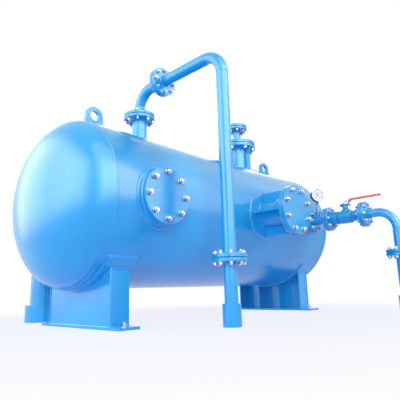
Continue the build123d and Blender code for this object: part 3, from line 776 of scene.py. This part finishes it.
# %% [markdown]
# ## Straight beads
#
# A flat seam has the same ripples in a straight line. A bar with closed ends is cut into
# short lengths, and every other cut is drawn in.


# %% Draw a straight bead
def facing(direction):
    """Turn that brings the Z axis on to a direction."""
    return direction.to_track_quat("Z", "Y").to_matrix().to_4x4()


def bead_line(mesh, first, last, bead):
    """Straight rippled weld between two points."""
    first, last = Vector(first), Vector(last)
    along = last - first
    length = along.length
    cuts = 2 * round(length / (RIPPLE_MM * MM)) - 1
    bar = bmesh.new()
    bmesh.ops.create_cone(
        bar, cap_ends=True, segments=BEAD_SIDES, radius1=bead, radius2=bead, depth=length
    )
    long_edges = [e for e in bar.edges if abs(e.verts[0].co.z - e.verts[1].co.z) > length / 2]
    bmesh.ops.subdivide_edges(bar, edges=long_edges, cuts=cuts, use_grid_fill=True)
    for vert in bar.verts:
        share = swell(round((vert.co.z / length + 0.5) * (cuts + 1)))
        vert.co.x *= share
        vert.co.y *= share
    place = Matrix.Translation((first + last) / 2) @ facing(along)
    bmesh.ops.transform(bar, matrix=place, verts=bar.verts)
    add_to(mesh, bar)


print("straight beads ready")

# %% [markdown]
# ## Welds on the saddles and lugs
#
# The wear plate is welded to the shell all round, the web and the outer ribs to the wear
# plate and to the base plate. Round the tank these are part rings, elsewhere straight beads.

# %% Weld the saddles and lugs
SADDLE_BEAD = 8 * MM
WEAR_HALF_ANGLE = math.radians(47.7)
BOTTOM = math.radians(-90)
ALONG_TANK = Matrix(((0, 0, 1), (1, 0, 0), (0, 1, 0))).to_4x4()

saddle_mesh = bmesh.new()


def tank_arc(x, radius, half_angle):
    """Weld on the underside of the tank, square to its axis."""
    place = Matrix.Translation((x, 0, axis_z)) @ ALONG_TANK
    bead_ring(saddle_mesh, place, radius, SADDLE_BEAD, BOTTOM - half_angle, 2 * half_angle)


def saddle_line(first, last):
    """Straight weld on a saddle or a lug."""
    bead_line(saddle_mesh, first, last, SADDLE_BEAD)


wear_z = axis_z - tank_r * math.cos(WEAR_HALF_ANGLE)
lug_z = axis_z + tank_r
for end in ("near", "far"):
    plate_low, plate_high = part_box(f"{end}_wear_plate")
    web_low, web_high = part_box(f"{end}_saddle_web")
    rib_low, rib_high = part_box(f"{end}_saddle_ribs")
    base_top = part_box(f"{end}_base_plate")[1].z
    plate_r = axis_z - plate_low.z
    web_half = (web_high.y - web_low.y) / 2
    web_angle = math.asin(web_half / plate_r)
    corner_z = axis_z - plate_r * math.cos(web_angle)
    outer_x = web_low.x if end == "near" else web_high.x
    inner_x = rib_high.x if end == "near" else rib_low.x
    for edge_x in (plate_low.x, plate_high.x):
        tank_arc(edge_x, tank_r, WEAR_HALF_ANGLE)
    tank_arc(outer_x, plate_r, web_angle)
    saddle_line((outer_x, -web_half, base_top), (outer_x, web_half, base_top))
    for side in (-1, 1):
        side_y = side * web_half
        saddle_line((outer_x, side_y, base_top), (outer_x, side_y, corner_z))
        saddle_line((outer_x, side_y, base_top), (inner_x, side_y, base_top))
        saddle_line((outer_x, side_y, corner_z), (inner_x, side_y, corner_z))
        wear_y = side * tank_r * math.sin(WEAR_HALF_ANGLE)
        saddle_line((plate_low.x, wear_y, wear_z), (plate_high.x, wear_y, wear_z))
    lug_low, lug_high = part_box(f"{end}_lug")
    for side_y in (lug_low.y, lug_high.y):
        saddle_line((lug_low.x, side_y, lug_z), (lug_high.x, side_y, lug_z))
finish_bead("saddle_welds", saddle_mesh)

# %% [markdown]
# ## The gauge's dial
#
# The gauge shows a white dial sunk in its case, which is turned a little towards the near
# end. Everything on the dial is made flat, on the ground plane, and one matrix brings it to
# its place, because marks are easier to set out there than on a tilted face.

# %% Lay the dial
DIAL_TURN = math.radians(35)
DIAL_AXIS = Vector((-math.sin(DIAL_TURN), -math.cos(DIAL_TURN), 0))
GAUGE_R = 63.5 * MM
GAUGE_DEPTH = 48 * MM
DIAL_R = 58.2 * MM
DIAL_RECESS = 5 * MM
DIAL_SIDES = 64
FACE_THICKNESS = 0.8 * MM
FACE_BEVEL = 0.2 * MM

gauge_low, gauge_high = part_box("pressure_gauge")
gauge_middle = (gauge_low + gauge_high) / 2
gauge_middle.z = gauge_high.z - GAUGE_R
dial_axes = Matrix((UP.cross(DIAL_AXIS), UP, DIAL_AXIS)).transposed().to_4x4()
dial_middle = gauge_middle + DIAL_AXIS * (GAUGE_DEPTH / 2 - DIAL_RECESS)
dial_place = Matrix.Translation(dial_middle) @ dial_axes

face_mesh = bmesh.new()
face_verts = add_disc(face_mesh, DIAL_R, 0, FACE_THICKNESS, DIAL_SIDES)
bevel_top(face_mesh, face_verts, FACE_THICKNESS, FACE_BEVEL)
bmesh.ops.transform(face_mesh, matrix=dial_place, verts=face_mesh.verts)
finish_piece("dial_face", face_mesh, dial_white)

# %% [markdown]
# ## Ticks and numbers
#
# The scale runs three quarters of a turn, with a tick for each unit and a plain number at
# every fourth. They could be drawn in the dial's material, but printed ink has an edge, so
# ticks are thin boxes from one cube each, numbers are text turned into a mesh, and both lie
# a hair above the dial.

# %% Print the scale
SCALE_START = math.radians(225)
SCALE_TURN = math.radians(270)
SCALE_UNITS = 16
NUMBER_EVERY = 4
NUMBER_SIZE = 10 * MM
INK_THICKNESS = 0.25 * MM
# Widths of the ticks, and their ends and the numbers' middles as shares of the radius
LONG_TICK = 1.0 * MM
SHORT_TICK = 0.5 * MM
TICK_OUTER = 0.92
LONG_TICK_INNER = 0.78
SHORT_TICK_INNER = 0.85
NUMBER_RING = 0.58


def scale_angle(value):
    """Angle of a reading on the dial, anticlockwise from its right."""
    return SCALE_START - SCALE_TURN * value / SCALE_UNITS


def flat_mark(mesh, angle, inner, outer, width, low, high):
    """Thin box along a radius of the dial."""
    made = bmesh.ops.create_cube(mesh, size=1.0)
    size = Matrix.Diagonal((outer - inner, width, high - low, 1.0))
    middle = Matrix.Translation(((outer + inner) / 2, 0, (low + high) / 2))
    place = dial_place @ Matrix.Rotation(angle, 4, "Z") @ middle @ size
    bmesh.ops.transform(mesh, matrix=place, verts=made["verts"])


ink_mesh = bmesh.new()
ink_top = FACE_THICKNESS + INK_THICKNESS
for unit in range(SCALE_UNITS + 1):
    long_tick = unit % NUMBER_EVERY == 0
    inner = DIAL_R * (LONG_TICK_INNER if long_tick else SHORT_TICK_INNER)
    outer = DIAL_R * TICK_OUTER
    width = LONG_TICK if long_tick else SHORT_TICK
    flat_mark(ink_mesh, scale_angle(unit), inner, outer, width, FACE_THICKNESS, ink_top)
for unit in range(0, SCALE_UNITS + 1, NUMBER_EVERY):
    text = bpy.data.curves.new("number", "FONT")
    text.body = str(unit)
    text.size = NUMBER_SIZE
    text.align_x = "CENTER"
    text.align_y = "CENTER"
    text.extrude = INK_THICKNESS / 2
    text_object = bpy.data.objects.new("number", text)
    number_mesh = bpy.data.meshes.new_from_object(text_object)
    angle = scale_angle(unit)
    place = Vector((math.cos(angle), math.sin(angle), 0)) * DIAL_R * NUMBER_RING
    place.z = FACE_THICKNESS + INK_THICKNESS / 2
    drop_copy(ink_mesh, number_mesh, dial_place @ Matrix.Translation(place))
    bpy.data.objects.remove(text_object)
finish_piece("dial_marks", ink_mesh, dial_ink)

# %% [markdown]
# ## The needle
#
# The needle is a thin bar on a round hub, and it narrows towards its tip. The bar starts as
# a box like a tick's, whose far end is then drawn in.

# %% Set the needle
READING = 6
NEEDLE_LIFT = 0.3 * MM
NEEDLE_THICKNESS = 0.8 * MM
NEEDLE_WIDTH = 1.8 * MM
# Ends as shares of the dial's radius, and the tip's width as a share of the bar's
NEEDLE_TAIL = -0.22
NEEDLE_TIP = 0.8
TIP_WIDTH = 0.25
HUB_R = 4.5 * MM
HUB_RISE = 0.5 * MM
HUB_SIDES = 24

needle_mesh = bmesh.new()
needle_low = ink_top + NEEDLE_LIFT
needle_high = needle_low + NEEDLE_THICKNESS
tip_angle = scale_angle(READING)
tail, tip = NEEDLE_TAIL * DIAL_R, NEEDLE_TIP * DIAL_R
flat_mark(needle_mesh, tip_angle, tail, tip, NEEDLE_WIDTH, needle_low, needle_high)
to_dial = dial_place.inverted()
for vert in needle_mesh.verts:
    local = Matrix.Rotation(-tip_angle, 4, "Z") @ to_dial @ vert.co
    if local.x > 0:
        local.y *= TIP_WIDTH
    vert.co = dial_place @ Matrix.Rotation(tip_angle, 4, "Z") @ local
hub_verts = add_disc(needle_mesh, HUB_R, FACE_THICKNESS, needle_high + HUB_RISE, HUB_SIDES)
bmesh.ops.transform(needle_mesh, matrix=dial_place, verts=hub_verts)
finish_piece("dial_needle", needle_mesh, dial_ink)

# %% [markdown]
# ## Ring and window
#
# The ring holds the window in the case. It is a flat oblong section spun round the gauge's
# axis, and the window is a shallow disc let into it.

# %% Close the gauge
RING_WIDTH = 6.2 * MM
RING_HEIGHT = 2.2 * MM
RING_STEPS = 72
WINDOW_LOW = 3.2 * MM
WINDOW_THICKNESS = 1.5 * MM
WINDOW_BEVEL = 0.3 * MM

ring_mesh = bmesh.new()
ring_start = bmesh.ops.create_grid(ring_mesh, x_segments=1, y_segments=1, size=0.5)
section = Matrix.Diagonal((RING_WIDTH, RING_HEIGHT, 1.0, 1.0))
to_rim = Matrix.Translation((GAUGE_R - RING_WIDTH / 2, 0, DIAL_RECESS))
stand = to_rim @ Matrix.Rotation(math.pi / 2, 4, "X")
bmesh.ops.transform(ring_mesh, matrix=stand @ section, verts=ring_start["verts"])
bmesh.ops.delete(ring_mesh, geom=ring_mesh.faces[:], context="FACES_ONLY")
bmesh.ops.spin(
    ring_mesh,
    geom=ring_mesh.verts[:] + ring_mesh.edges[:],
    axis=(0, 0, 1),
    cent=(0, 0, 0),
    angle=math.tau,
    steps=RING_STEPS,
    use_merge=True,
)
bmesh.ops.recalc_face_normals(ring_mesh, faces=ring_mesh.faces)
bmesh.ops.transform(ring_mesh, matrix=dial_place, verts=ring_mesh.verts)
finish_piece("gauge_ring", ring_mesh, ring_nickel)

window_mesh = bmesh.new()
window_top = WINDOW_LOW + WINDOW_THICKNESS
window_verts = add_disc(window_mesh, DIAL_R, WINDOW_LOW, window_top, DIAL_SIDES)
bevel_top(window_mesh, window_verts, window_top, WINDOW_BEVEL)
bmesh.ops.transform(window_mesh, matrix=dial_place, verts=window_mesh.verts)
finish_piece("gauge_window", window_mesh, window_clear)

# %% [markdown]
# ## The lever's nut
#
# The lever sits on the valve's stem and is held by one nut over a washer, which turn with it.
# They are made from two prisms, as the studs' nuts are.

# %% Nut on the stem
LEVER_THICKNESS = 8 * MM
STEM_WASHER_R = 19 * MM
STEM_WASHER_TOP = 2.5 * MM
STEM_WASHER_BEVEL = 0.5 * MM
STEM_NUT_FLATS = 36 * MM
STEM_NUT_TOP = 18.5 * MM
STEM_NUT_BEVEL = 2.2 * MM

stem_low, stem_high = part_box("valve_stem")
stem_middle = (stem_low + stem_high) / 2
on_lever = Matrix.Translation((stem_middle.x, stem_middle.y, stem_low.z + LEVER_THICKNESS))
stem_nut = bmesh.new()
nut_verts = add_disc(stem_nut, STEM_WASHER_R, 0, STEM_WASHER_TOP, ROUND_SIDES * 2)
bevel_top(stem_nut, nut_verts, STEM_WASHER_TOP, STEM_WASHER_BEVEL)
nut_r = STEM_NUT_FLATS / math.sqrt(3)
nut_verts = add_disc(stem_nut, nut_r, STEM_WASHER_TOP, STEM_NUT_TOP, NUT_SIDES)
bevel_top(stem_nut, nut_verts, STEM_NUT_TOP, STEM_NUT_BEVEL)
bmesh.ops.transform(stem_nut, matrix=on_lever, verts=stem_nut.verts)
finish_piece("stem_nut", stem_nut, zinc, body="lever")

# %% [markdown]
# ## Studio
#
# The background is plain white. More light would make it so, but would also wash out the
# paint, so the floor and the world ask what kind of ray meets them. The camera, gloss and
# glass see white, and light that bounces on meets other colours.

# %% Tell the rays apart
WHITE = linear("#FFFFFF")
SEEN_RAYS = ("Is Camera Ray", "Is Glossy Ray", "Is Transmission Ray")


def seen_directly(tree):
    """Socket that is 1 for rays that show the background, and 0 for light that bounces."""
    path = add_node(tree, "ShaderNodeLightPath")
    total = path.outputs[SEEN_RAYS[0]]
    for name in SEEN_RAYS[1:]:
        step = add_node(tree, "ShaderNodeMath", {"operation": "MAXIMUM"})
        tree.links.new(total, step.inputs[0])
        tree.links.new(path.outputs[name], step.inputs[1])
        total = step.outputs[0]
    return total


print("white for:", ", ".join(SEEN_RAYS))

# %% [markdown]
# ## The floor
#
# The floor is nearly white too, and it keeps a soft shadow: for the camera and for
# reflections it is mostly its own white, and for everything else it is a matt surface that
# bounces light up under the tank. Away from the tank it turns fully white, so that no edge
# shows against the background.

# %% Lay the floor
FLOOR_SIZE = 60.0
FLOOR_WHITE_SHARE = 0.8
SHADOW_NEAR = 1.5
SHADOW_FAR = 3.2

floor_mesh = bmesh.new()
bmesh.ops.create_grid(floor_mesh, x_segments=1, y_segments=1, size=FLOOR_SIZE / 2)
floor_data = bpy.data.meshes.new("floor")
floor_mesh.to_mesh(floor_data)
floor_mesh.free()
floor = bpy.data.objects.new("floor", floor_data)
bpy.context.scene.collection.objects.link(floor)

floor_finish = bpy.data.materials.new("white_floor")
floor_finish.use_nodes = True
tree = floor_finish.node_tree
tree.nodes.remove(tree.nodes["Principled BSDF"])
glow = add_node(tree, "ShaderNodeEmission", {"Color": WHITE, "Strength": 1.0})
floor_place = add_node(tree, "ShaderNodeTexCoord").outputs["Object"]
distance = add_node(tree, "ShaderNodeVectorMath", {"operation": "LENGTH"})
tree.links.new(floor_place, distance.inputs[0])
shadow_range = {"From Min": SHADOW_NEAR, "From Max": SHADOW_FAR}
fade = add_node(
    tree,
    "ShaderNodeMapRange",
    {**shadow_range, "To Min": FLOOR_WHITE_SHARE, "To Max": 1.0},
    Value=distance.outputs["Value"],
)
spread = add_node(tree, "ShaderNodeMapRange", shadow_range, Value=distance.outputs["Value"])
paper = add_node(tree, "ShaderNodeMix", {"data_type": "RGBA"}, Factor=spread.outputs["Result"])
paper.inputs["A"].default_value = linear("#CAD9FF")
paper.inputs["B"].default_value = linear("#6C82BE")
matt = add_node(tree, "ShaderNodeBsdfDiffuse")
tree.links.new(paper.outputs["Result"], matt.inputs["Color"])
share = add_node(tree, "ShaderNodeMath", {"operation": "MULTIPLY"})
tree.links.new(seen_directly(tree), share.inputs[0])
tree.links.new(fade.outputs["Result"], share.inputs[1])
mixed = add_node(tree, "ShaderNodeMixShader", Fac=share.outputs[0])
tree.links.new(matt.outputs[0], mixed.inputs[1])
tree.links.new(glow.outputs[0], mixed.inputs[2])
tree.links.new(mixed.outputs[0], tree.nodes["Material Output"].inputs["Surface"])
floor_data.materials.append(floor_finish)
print("floor:", FLOOR_SIZE, "m wide, white from", SHADOW_FAR, "m outwards")

# %% [markdown]
# ## The world
#
# Where it is seen, the world is white. As light it is only a dim blue fill, which keeps the
# shaded sides of the paint from turning grey.

# %% Set the world
AMBIENT = 0.12

world = bpy.data.worlds.new("studio")
bpy.context.scene.world = world
world.use_nodes = True
tree = world.node_tree
background = tree.nodes["Background"]
shown = seen_directly(tree)
sky = add_node(tree, "ShaderNodeMix", {"data_type": "RGBA"}, Factor=shown)
sky.inputs["A"].default_value = linear("#5F92FF")
sky.inputs["B"].default_value = WHITE
tree.links.new(sky.outputs["Result"], background.inputs["Color"])
level = add_node(tree, "ShaderNodeMapRange", {"To Min": AMBIENT, "To Max": 1.0}, Value=shown)
tree.links.new(level.outputs["Result"], background.inputs["Strength"])
print("world: white where seen, fill of", AMBIENT)

# %% [markdown]
# ## Soft boxes
#
# A soft box is an area light of a chosen radiance. Its power is radiance times pi times
# area, so each box is given the brightness that its reflection should have, and the power
# follows from its size. Boxes that share a side are layered from small to large, a little
# apart, so that the edge of their reflection fades out in the paint. A card shows in the
# gloss alone and the camera's box lights the matt colour alone, as a studio sets its
# reflections apart from its main light. The back box lights the sides away from the camera.

# %% Hang the soft boxes
TANK_MIDDLE = Vector((0, 0, axis_z))


def soft_box(name, bearing, rise, distance, width, height, radiance, matt=True, gloss=True):
    """Area light that faces the tank, for the matt colour, the gloss or both.

    Its place is a bearing in degrees (0 is the front, 90 the far end), a rise in degrees and
    a distance in metres from the tank's middle.
    """
    bearing, rise = math.radians(bearing), math.radians(rise)
    flat = math.cos(rise)
    out = Vector((math.sin(bearing) * flat, -math.cos(bearing) * flat, math.sin(rise)))
    data = bpy.data.lights.new(name, "AREA")
    data.shape = "RECTANGLE"
    data.size = width
    data.size_y = height
    data.energy = radiance * math.pi * width * height
    lamp = bpy.data.objects.new(name, data)
    lamp.matrix_world = Matrix.Translation(TANK_MIDDLE + out * distance) @ facing(out)
    lamp.visible_diffuse = matt
    lamp.visible_glossy = gloss
    bpy.context.scene.collection.objects.link(lamp)
    print("soft box:", name, round(data.energy), "W")


# Name, bearing, rise, distance, width, height and radiance
soft_box("left_box_core", -118, 20, 6.4, 10.5, 4.2, 0.68)
soft_box("left_box_middle", -118, 20, 6.5, 12.0, 5.6, 0.68)
soft_box("left_box_rim", -118, 20, 6.6, 13.5, 7.0, 0.6)
soft_box("left_card_wide", -118, 20, 6.7, 12.2, 5.8, 0.36, matt=False)
soft_box("camera_box", -46, 14, 7.7, 5.6, 5.6, 3.3, gloss=False)
soft_box("left_card_core", -91, 19, 7.1, 3.6, 3.4, 1.1, matt=False)
soft_box("left_card_rim", -90, 20, 7.2, 6.6, 5.4, 1.0, matt=False)
soft_box("front_card_core", -13, 27, 7.3, 6.2, 4.2, 2.1, matt=False)
soft_box("front_card_middle", -15, 28, 7.4, 7.8, 6.4, 1.9, matt=False)
soft_box("front_card_rim", -18, 34, 7.5, 9.8, 10.8, 2.0, matt=False)
soft_box("front_box_core", 22, 25, 6.7, 2.0, 4.2, 2.2)
soft_box("front_box_rim", 22, 26, 6.8, 2.7, 5.8, 2.0)
soft_box("right_box", 41, 22, 7.0, 2.2, 5.0, 1.5)
soft_box("high_box", 60, 44, 7.5, 6.0, 3.0, 0.5)
soft_box("back_box", 146, 30, 8.0, 9.0, 4.0, 1.6)
